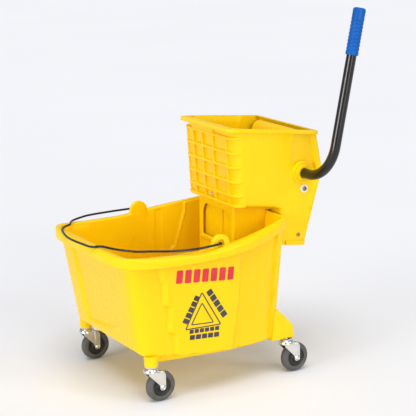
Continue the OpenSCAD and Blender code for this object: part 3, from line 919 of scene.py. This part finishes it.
def hopper_shell():
    outer = []
    for turn in steps(pi / 2, 0, 6):
        ring = hopper_level(0)
        r = FOOT_ROUND * limit((SEAT - 3 - ring[:, 0]) / FOOT_FADE)
        nx, ny = out_of(ring[:, 0], ring[:, 1])
        ring[:, 0] -= nx * r * (1 - cos(turn))
        ring[:, 1] -= ny * r * (1 - cos(turn))
        ring[:, 2] += r * (1 - sin(turn))
        outer.append(ring)
    outer.insert(0, foot_cap(outer[0]))
    outer += [with_relief(hopper_level(t)) for t in steps(0.05, 1, 64)]
    inner = [hopper_inner(t) for t in steps(1, 0.0, 20)]
    skirt = [with_relief(skirt_level(t)) for t in steps(0, 1, 34)]
    skirt_in = [skirt_level(t, -HOPPER_WALL) for t in steps(0, 1, 3)]
    return joined(skin(outer + inner), skin(skirt_in[::-1] + skirt))


def hopper_flanges():
    """The rounded rim round the top, and the lip along the foot of the part behind the bucket."""
    high, low = hopper_rim(RIM_FRONT), hopper_rim(RIM_BACK)
    front, rear = HOPPER_FRONT, RIM_BACK - 6
    path = level(front, rear, high - 0.5 - 8 * HOPPER_SLOPE, low + 0.5, 0, 12, 160)
    ahead = FLANGE_AHEAD * ease((front + 30 - path[:, 0]) / 30)
    path[:, 0] -= ahead

    def section(share):
        s = ahead[int(round(share * (len(ahead) - 1)))]
        return [(-5 - s, -1.5), (-5 - s, 0), (2, 0), (4.6, -0.6), (5.8, -2), (6, -4), (6, -8), (5.2, -9.6),
                (3.6, -10), (-1 - s, -10), (-1 - s, -6)]

    rim = sweep(path, section, (0, 0, 1), closed=True)
    foot = level(SEAT, HEEL[0] - 3, SKIRT_FOOT + 6, HEEL[1] + 6, 0, 8, 160)
    nose = foot[:, 0] > SEAT + 8
    first = int(np.argmax(nose))
    foot = foot[first:first + int(nose.sum())]
    lip = sweep(foot, rounded([(-3, -6), (6, -6), (6, 5.5), (-3, 5.5)], [0, 3, 2, 0], 4), (0, 0, 1))
    return joined(rim, lip)


def front_ribs():
    """Ribs round the front corners, ending in tapered fingers on the sides, and upright ribs between them."""
    parts = []
    for z in RIB_Z:
        front = front_at(z)
        ring = level(front, 300, z, z, 0, FRONT_CORNER, 420)
        near = ring[:, 0] < front + FRONT_CORNER + FINGER
        ring = np.roll(ring, int(near[::-1].argmin()), axis=0)[:int(near.sum())]
        run = runs(ring)
        depths = [RIB_DEPTH * float(ease(min(s, run[-1] - s) / RIB_FADE)) for s in run]

        def section(share, depths=depths):
            d = depths[int(round(share * (len(depths) - 1)))]
            return [(-2, -4.2), (d - 1.5, -3.8), (d - 0.3, -3), (d, -1.8),
                    (d, 1.8), (d - 0.3, 3), (d - 1.5, 3.8), (-2, 4.2)]

        parts.append(sweep(ring, section, (0, 0, 1)))
    low, high = RIB_Z[0], RIB_Z[-1]
    upright_section = [(-3.7, -2), (-3.3, 5), (-2.4, 6), (2.4, 6), (3.3, 5), (3.7, -2)]
    for y in RIB_Y:
        path = [(front_at(z), y, z) for z in steps(low, high, 12)]
        parts.append(sweep(path, upright_section, (-1, 0, 0)))
    far = [(front_at(z) + 6, 104, z) for z in steps(low, high, 12)]
    parts.append(sweep(far, [(-2.6, -2), (-2, 8), (2, 8), (2.6, -2)], (-0.8, 0.6, 0)))
    front = front_at(high)
    top = rounded([(-26, high), (74, high), (74, 626), (-26, 626)], 1)
    parts.append(prism(top, front - 6, front + 2, facing, edge=1.2))
    return joined(*parts)


def hopper_floor():
    """The drain floor, and the arc behind it that the press plate's foot sweeps over."""
    arc = np.radians(steps(93, 116, 8))
    over, under = around(*HINGE, 92, arc), around(*HINGE, 88, arc[::-1])
    outline = [(88, 439.5), (88, 436), (SEAT, 421), *under, *over, (172, 427.5)]
    return prism(outline, -98, 98, upright, edge=0.6)


def leg_walls():
    """The leg's sides and rear, and the two corners beside its open front."""
    width, depth = 2 * LEG_HALF, LEG[1] - LEG[0]
    middle = (LEG[0] + LEG[1]) / 2
    corners = rectangle(-LEG_HALF, LEG_HALF, depth / 2)

    def ring(z, by):
        shape = [(u * (1 - 2 * by / depth), v * (1 - 2 * by / width)) for u, v in corners]
        return [(middle + u, v, z) for u, v in rounded(shape, LEG_CORNER, 6)]

    tall = steps(LEG_BOTTOM, LEG_TOP, 3)
    points, faces = skin([ring(z, LEG_WALL) for z in tall[::-1]] + [ring(z, 0) for z in tall])

    def in_front(i):
        x, y, _ = points[i]
        return x < LEG[0] + LEG_WALL + 0.5 and abs(y) < LEG_HALF - LEG_CORNER + 0.5

    return points, [face for face in faces if not all(in_front(i) for i in face)]


def leg():
    """The hollow leg that stands in the bucket, with its window at the front."""
    front = LEG[0]
    window = [(-71, 386), (-71, 329), (64, 329), (64, 390), (54, 412), (-60, 412)]
    panel = prism(rectangle(LEG_BOTTOM, LEG_TOP, LEG_HALF - LEG_CORNER + 1), front, front + LEG_WALL, facing,
                  [rounded(window, [14, 5, 5, 14, 16, 16], 6)], edge=0, hole_edge=1.5)
    ledge = prism(rounded(rectangle(318, 327, 70), 3), front - 3, front + 1, facing, edge=1.5)
    divider = prism([(-22, 300), (-19, 300), (-19, 428), (-22, 428)], front + 6, front + 14, facing, edge=0.8)
    backing = prism(rectangle(300, 428, 79), front + 11, front + 14, facing, edge=0.8)
    rear = SEAT + 1
    gusset = [(160, 300), (180, 300), (189.2, 404), (190, 409.5), (rear, 409.5), (rear, 424), (160, 424)]
    gussets = both_sides(prism(gusset, 76, LEG_HALF + 0.3, upright, edge=0.2))
    return joined(leg_walls(), panel, ledge, divider, backing, gussets)


# Profiles of turned parts, as (radius, height) from the middle plane
BOSS = (
    (29, 128), (29, 135.5), (28.6, 137), (27.4, 138), (24.4, 138), (23.2, 137), (22.6, 137), (22.2, 140),
    (21.4, 141), (18.4, 141), (17.2, 140), (17.2, 128),
)
STOP_PAD = ((12, 128), (12, 133), (11.4, 133.8), (2, 133.8))
BUSH = (
    (12.6, 121), (16.9, 121), (16.9, 141.1), (19.4, 141.1), (20, 141.8), (20, 142.8), (19.2, 143.5),
    (13.6, 143.5), (12.6, 142.6),
)
# The same, from the face that each part stands on
WASHER = ((4.2, 0), (9.6, 0), (10.5, 0.8), (10.5, 1.9), (9.7, 2.6), (6, 2.6), (5.2, 2.2), (4.2, 2.2))
STOP_BOLT = (
    (4, -12), (4, 2.4), (5.6, 2.7), (6.1, 3.4), (5.6, 4.9), (4, 5.4), (2.6, 5.4), (2.2, 4), (0.05, 4),
)
ROD_SCREW = ((2.5, -14), (2.5, 0.4), (5, 0.6), (5, 1.6), (4.3, 2.6), (2.4, 3), (2, 2.2), (0.05, 2.2))
STRAINER_HEAD = ((2.4, -1), (4.9, -1), (4.9, -2), (3.8, -3.4), (1.8, -3.8), (1.4, -3), (0.05, -3))


def hopper_bosses():
    """The rings round the lever's axle and the round pads under the stop washers."""
    return both_sides(joined(revolve(BOSS, around_y(*AXLE), 64), revolve(STOP_PAD, around_y(*STOP), 40)))


def stop_notches():
    """The notch beside each stop washer."""
    x, z = STOP
    outline = [(x + 26, z - 6), (x + 29, z - 6), (x + 31, z + 7), (x + 28, z + 7)]
    return both_sides(prism(outline, 131, 135.4, upright, edge=0.8))


def wringer():
    makers = (hopper_shell, hopper_flanges, front_ribs, hopper_floor, leg, hopper_bosses, stop_notches)
    shape = joined(*(make() for make in makers))
    make_piece("wringer_body", shape, yellow, "wringer", "yellow_plastic", sharp=34)


def turned_pair(name, profile, at, count, material, slot="zinc_steel", looped=False):
    """One turned part on each side of the wringer, on the line across it through (x, height)."""
    shape = both_sides(revolve(profile, around_y(*at), count, looped))
    make_piece(name, shape, material, "wringer", slot)


def lever_bushes():
    turned_pair("lever_bushes", BUSH, AXLE, 56, yellow, "yellow_plastic", looped=True)


def stops_and_screws():
    """The washers and bolts through the sides, and the screws into the hinge rod and the strainer."""
    face = hopper_half(STOP[0]) + 1.2
    turned_pair("nylon_washers", standing(WASHER, face), STOP, 40, nylon, "nylon_white", looped=True)
    turned_pair("stop_bolts", standing(STOP_BOLT, face), STOP, 32, dull_zinc)
    turned_pair("rod_screws", standing(ROD_SCREW, hopper_half(HINGE[0])), HINGE, 28, dull_zinc)
    y, z = STRAINER_SCREW

    def place(r, a, h):
        return h, y + r * cos(a), z + r * sin(a)

    screw = revolve([(2.4, LEG[0] + 6), *standing(STRAINER_HEAD, front_at(z))], place, 28)
    make_piece("strainer_screw", screw, zinc, "wringer", "zinc_steel")


# ---- press ----

PLATE_FOOT = (252, 442)
PLATE_TOP = (277, 598)
PLATE_BOW = 17
PLATE_HALF = 105
PLATE_RIBS = (-66, -22, 22, 66)


def plate_face(t):
    return (mix(PLATE_FOOT[0], PLATE_TOP[0], t) - PLATE_BOW * sin(pi * t),
            mix(PLATE_FOOT[1], PLATE_TOP[1], t))


def press():
    face = [plate_face(t) for t in steps(0, 1, 13)]
    top_x, top_z = PLATE_TOP
    lip = [(top_x + 9, top_z + 5), (top_x + 18, top_z + 6), (top_x + 18, top_z + 2), (top_x + 10, top_z + 1)]
    back = [(x + 4, z) for x, z in (plate_face(t) for t in steps(0.97, 0, 12))]
    plate = prism([*face, *lip, *back], -PLATE_HALF, PLATE_HALF, upright, edge=1.2)
    hx, hz = HINGE
    arm_outline = rounded([(hx - 9, hz - 6), (248, 446), (261, 446), (hx + 9, hz - 6)], [8, 1, 1, 8])
    hole = shifted(circle(5.2, 20), hx, hz)
    arms = both_sides(prism(arm_outline, 99, 105.5, upright, [hole], edge=0.8, hole_edge=0.4))
    back_edge = [(x + 3.5, z) for x, z in (plate_face(t) for t in steps(0.04, 0.95, 10))]
    fin = [(x + 7 + 3 * sin(pi * k / 9), z) for k, (x, z) in enumerate(back_edge)]
    ribs = [prism([*back_edge, *fin[::-1]], y - 1.5, y + 1.5, upright, edge=0.5) for y in PLATE_RIBS]
    make_piece("press_plate", joined(plate, arms, *ribs), press_yellow, "press", "press_plastic")


# ---- lever ----

LEAN = radians(10.8)
TUBE_R = 12.5
BEND_R = 86
# How far out the grip's line is, and where the tube's bend begins
GRIP_OUT = -(grip_low[1] + grip_high[1]) / 2
BEND_OUT = GRIP_OUT - BEND_R
LEVER_LEN = 425
GRIP_LEN = 115
GRIP_RINGS = 9
GRIP_R = (grip_high[1] - grip_low[1]) / 2


def on_lever(along, across):
    """A point in the lever's own frame: along its grip line from the axle, and across from the middle."""
    return np.array([AXLE[0] + along * sin(LEAN), across, AXLE[1] + along * cos(LEAN)])


def around_lever(r, a, h):
    base = on_lever(h, -GRIP_OUT)
    back = np.array([cos(LEAN), 0, -sin(LEAN)])
    return base + r * (cos(a) * back + sin(a) * np.array([0, 1, 0]))


def grip_profile():
    """A grip with shallow rings, from its foot to its round top."""
    low, top = LEVER_LEN - GRIP_LEN, LEVER_LEN
    profile = [(TUBE_R - 0.3, low + 0.8), (TUBE_R + 1, low), (GRIP_R - 0.8, low), (GRIP_R, low + 1),
               (GRIP_R, low + 9)]
    pitch = (GRIP_LEN - 35) / GRIP_RINGS
    for k in range(GRIP_RINGS):
        h = low + 10 + k * pitch
        profile += [(GRIP_R - 1, h + 0.7), (GRIP_R - 1, h + 1.7), (GRIP_R - 0.3, h + 2.8), (GRIP_R, h + 4.4),
                    (GRIP_R, h + pitch - 1.6), (GRIP_R - 0.4, h + pitch - 0.2)]
    end = [(GRIP_R, -6), (GRIP_R - 1, -3), (GRIP_R - 3.4, -0.8), (GRIP_R - 7, 0), (0.05, 0)]
    return profile + standing(end, top)


def lever():
    path = [on_lever(0, y) for y in (144, 60, -40, -120, -BEND_OUT)]
    for turn in steps(0, pi / 2, 20)[1:]:
        path.append(on_lever(BEND_R * (1 - cos(turn)), -BEND_OUT - BEND_R * sin(turn)))
    path += [on_lever(h, -GRIP_OUT) for h in (160, 250, 330, LEVER_LEN - 5)]
    back = (cos(LEAN), 0, -sin(LEAN))
    outer = sweep(path, circle(TUBE_R, 32), back)
    make_piece("lever_tube", outer, black_steel, "lever", "dark_steel")
    grip = revolve(grip_profile(), around_lever, 48)
    make_piece("lever_grip", grip, grip_blue, "lever", "grip_blue")


# ---- bail ----

BAIL_SLOPE = radians(1.15)
BAIL_WIRE = 2.75
# The wire seen from above, from the far ear round the front to the near one
BAIL_POINTS = (
    (-22, 204), (-22, 208), (-24, 213), (-32, 215), (-60, 217), (-95, 219), (-157, 218), (-192, 207),
    (-223, 189), (-243, 160), (-262, 148), (-283, 121), (-302, 47), (-298, -31), (-291, -60),
    (-271, -68), (-255, -110), (-228, -152), (-195, -174), (-149, -203), (-96, -218), (-52, -216),
    (-32, -214), (-24, -213), (-22, -208), (-22, -204),
)


def bail():
    path = []
    for x, y in spline(BAIL_POINTS, 8):
        ahead = bail_pivot[0] - x
        path.append((x, y, bail_pivot[2] - ahead * sin(BAIL_SLOPE)))
    shape = sweep(path, circle(BAIL_WIRE, 14), (0, 0, 1))
    make_piece("bail", shape, black_wire, "bail_handle", "wire_black")


# ---- casters ----

FORK_GAP = 13.4
FORK_T = 2.5
# Profiles: (radius, height) for the cup, and from each end of the turned part for the others
CUP = (
    (6, 88), (14, 88), (15.4, 87.4), (17.4, 84.5), (18.6, 81), (19, 78.6), (18.7, 77.2), (17.4, 77), (6, 77),
)
BOLT_HEAD = (
    (0.05, -3.2), (1.6, -3.2), (2, -2.6), (3.4, -3.5), (5, -3.2), (6.2, -1.6), (6.5, -0.1), (4, -0.1),
)
BOLT_END = ((0.05, 5), (3.2, 5), (4, 4), (4, 0))
CORE = (
    (6.1, -1.5), (10.4, -1.5), (11, -0.9), (12.4, 2.4), (14, 3), (19, 3.4), (21.6, 2.6), (23.4, 1), (24, 1.2),
)
TYRE = (
    (24.05, 1.2), (24.6, 0.5), (26, 0.1), (29.2, 0), (30, 0.2), (31.6, 0.5), (34.2, 1.3), (36.2, 3),
    (37.4, 5), (37.9, 7.5),
)


def caster_fork(x, y, wheel_x):
    """A pressed fork: a domed cup that holds the swivel's balls, and two legs with a raised rib down each."""
    dome = revolve(CUP, around_z(x, y), 48)
    leg_outline = rounded([(x - 13, 81), (x - 14, 74), (wheel_x - 9, WHEEL + 6), (wheel_x - 8, WHEEL - 8),
                           (wheel_x + 8, WHEEL - 8), (wheel_x + 7, 70), (x + 27, 80), (x + 15, 82)],
                          [1, 8, 10, 8, 8, 8, 1, 1])

    def rib(share):
        return circle(5.2 + 1.6 * share, 20, 0.42 * share ** 0.5 + 0.02)

    legs = []
    for side in SIDES:
        low, high = sorted((y + side * FORK_GAP, y + side * (FORK_GAP + FORK_T)))
        legs.append(prism(leg_outline, low, high, upright, edge=0.9))
        face = y + side * (FORK_GAP + FORK_T - 0.6)
        path = [(wheel_x - 1 - 2.5 * share, face, mix(WHEEL + 3, 79, share)) for share in steps(0, 1, 7)]
        legs.append(sweep(path, rib, (0, side, 0)))
    across = shifted(rectangle(76, 80, FORK_GAP + FORK_T), y, 0)
    bridge = prism(rounded(across, 1.2), x - 12, x + 14, facing, edge=0.8)
    return joined(dome, *legs, bridge)


def axle_bolt(x, y, turned):
    """A round-headed bolt through the fork's legs, with a nut and the bolt's end past it."""
    edge = FORK_GAP + FORK_T
    nut_outline = shifted(rounded(circle(7, 6), 0.6, 2), x, WHEEL)
    nut = prism(nut_outline, y + edge + 0.1, y + edge + 4.1, upright, edge=0.5)
    shank = turned([*standing(BOLT_HEAD, -edge), (4, edge), (0.05, edge)], 32)
    return joined(shank, nut, turned(standing(BOLT_END, edge), 24))


def caster(corner):
    x, y, _ = pivot(f"swivel_{corner}")
    wheel_x = pivot(f"roll_{corner}")[0]
    half = WHEEL_W / 2

    def turned(profile, count=64, looped=False):
        return moved(revolve(profile, around_y(wheel_x, WHEEL), count, looped), (0, y, 0))

    core = turned(both_ends(standing(CORE, -half)), looped=True)
    tyre = turned(both_ends(standing(TYRE, -half), (WHEEL, 0)), 72, looped=True)
    pieces = (
        ("fork", caster_fork(x, y, wheel_x), zinc, "caster", "zinc_steel"),
        ("axle_bolt", axle_bolt(wheel_x, y, turned), zinc, "caster", "zinc_steel"),
        ("wheel_core", core, wheel_black, "wheel", "wheel_black"),
        ("tyre", tyre, tyre_grey, "wheel", "tyre_grey"),
    )
    for part, shape, material, body, slot in pieces:
        make_piece(f"{part}_{corner}", shape, material, f"{body}_{corner}", slot)


# ---- parts shown as the frame has them ----

KEPT = {
    "stem_sockets": gear_black, "caster_stems": zinc, "thrust_washers": nylon, "drain_strainer": yellow,
    "hinge_rod": zinc, "return_springs": spring, "sector_gears": gear_black, "axle_cap": gear_black,
    "pinions": gear_black, "pinion_pins": zinc, **{f"wheel_bush_{corner}": zinc for corner in CORNERS},
}
KEPT_EDGE = 0.4


def kept_parts():
    """Gives each part that needs no new shape its finish and softened edges."""
    for name, material in KEPT.items():
        part = frame["nodes"][name]
        part.data.materials.clear()
        part.data.materials.append(material)
        part.data.shade_smooth()
        part.data.set_sharp_from_angle(angle=radians(32))
        bevel = part.modifiers.new("edges", "BEVEL")
        bevel.width = KEPT_EDGE * MM
        bevel.segments = 2
        bevel.limit_method = "ANGLE"
        bevel.angle_limit = radians(40)


# ---- room, light and camera ----

FLOOR_SPAN = 60000
FLOOR_LOW = (0.800, 0.825, 0.885)
FLOOR_HIGH = (0.812, 0.837, 0.897)
WARM = (1.0, 0.98, 0.955)
SKY = 0.4
# Each sun: the way it shines, its strength, and how many degrees it spreads over
SUNS = {
    "high window": ((0.20, 0.25, -1.0), 1.72, 45),
    "left window": ((0.90, 0.15, -0.15), 1.5, 25),
    "front window": ((0.10, 0.90, -0.22), 1.0, 30),
    "right window": ((-0.50, 0.72, -0.49), 0.4, 18),
}
CAMERA_AT = (-1661.4, -2813.5, 1211.1)
CAMERA_TURN = radians(31.6)
CAMERA_TILT = radians(13.6)
LENS = 115.5


def floor_plane():
    material, tree, shader = principled("studio floor")
    tree.links.new(blended(tree, noise(tree, 0.8), FLOOR_LOW, FLOOR_HIGH), shader.inputs["Base Color"])
    tree.links.new(between(tree, noise(tree, 30), 0.85, 0.95), shader.inputs["Roughness"])
    half = FLOOR_SPAN / 2 * MM
    mesh = bpy.data.meshes.new("floor")
    corners = [(x, y, 0) for x, y in rectangle(-half, half, half)]
    mesh.from_pydata(corners, [], [(0, 1, 2, 3)])
    mesh.materials.append(material)
    floor = placed("floor", mesh)


def sun(name, ahead, strength, spread):
    """A distant soft light that shines along a direction."""
    lamp = bpy.data.lights.new(name, "SUN")
    lamp.energy = strength
    lamp.angle = radians(spread)
    lamp.color = WARM
    light = placed(name, lamp)
    light.rotation_euler = Vector(ahead).to_track_quat("-Z", "Y").to_euler()


def studio():
    scene = bpy.context.scene
    world = bpy.data.worlds.new("studio")
    world.use_nodes = True
    put(world.node_tree.nodes["Background"], Color=(*WARM, 1), Strength=SKY)
    scene.world = world
    scene.view_settings.view_transform = "Standard"
    floor_plane()
    for name, (ahead, strength, spread) in SUNS.items():
        sun(name, ahead, strength, spread)


def camera():
    data = bpy.data.cameras.new("camera")
    data.lens = LENS
    data.clip_end = 60
    view = placed("camera", data)
    view.location = Vector(CAMERA_AT) * MM
    flat = cos(CAMERA_TILT)
    ahead = Vector((sin(CAMERA_TURN) * flat, cos(CAMERA_TURN) * flat, -sin(CAMERA_TILT)))
    view.rotation_euler = ahead.to_track_quat("-Z", "Y").to_euler()
    bpy.context.scene.camera = view


bucket()
wringer()
lever_bushes()
stops_and_screws()
press()
lever()
bail()
for corner in CORNERS:
    caster(corner)
kept_parts()
studio()
camera()
